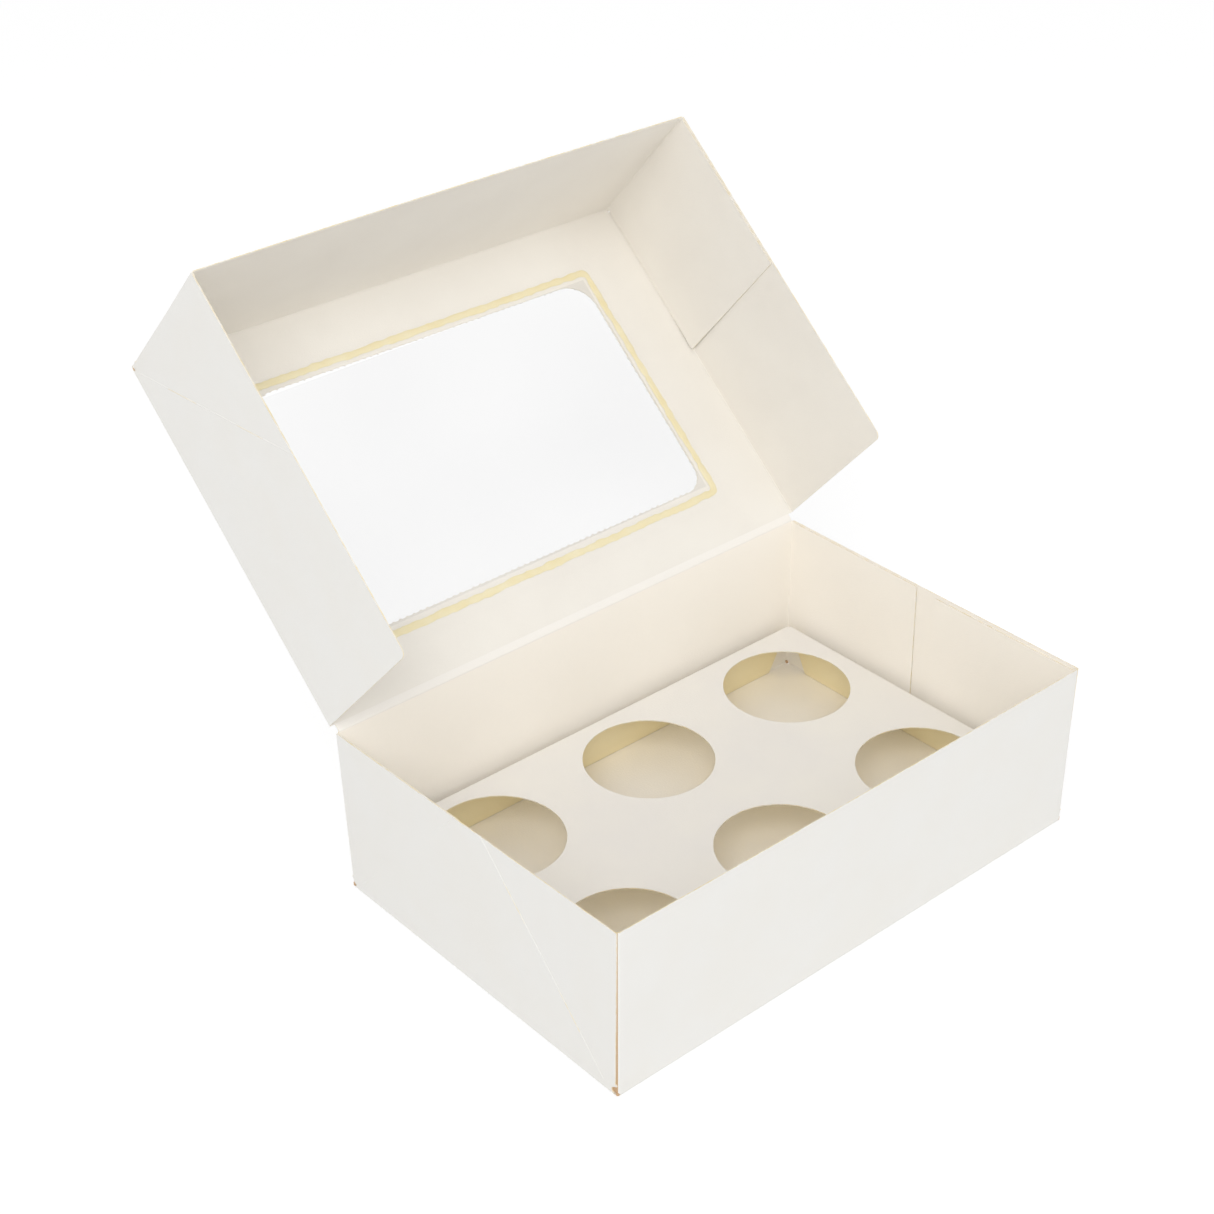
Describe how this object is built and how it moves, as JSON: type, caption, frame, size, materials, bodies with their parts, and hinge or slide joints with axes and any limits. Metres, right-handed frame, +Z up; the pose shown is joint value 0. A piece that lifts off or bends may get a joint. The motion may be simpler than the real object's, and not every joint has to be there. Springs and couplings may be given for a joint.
{
  "type": "cupcake box",
  "caption": "Folded card cupcake box standing open: a shallow tray with a hinged windowed lid and a raised card insert with round holes for the cakes.",
  "frame": {"origin": "centre of the tray's underside, on the table", "axes": "+X along the hinge, +Y from the front wall to the hinge, +Z up"},
  "size_m": [0.2424, 0.2773, 0.2352],
  "materials": {
    "white_card": "matte",
    "insert_card": "matte",
    "clear_film": "gloss",
    "dried_glue": "satin"
  },
  "bodies": {
    "tray": {"base_tray": "white_card", "cupcake_insert": "insert_card"},
    "lid": {"lid": "white_card", "window_film": "clear_film", "window_glue": "dried_glue"}
  },
  "joints": [
    {"name": "lid_hinge", "type": "hinge", "parent": "tray", "child": "lid", "pos_m": [0, 0.07945, 0.0755], "axis": [-1, 0, 0], "range_deg": [-138.7, 66.3]}
  ]
}
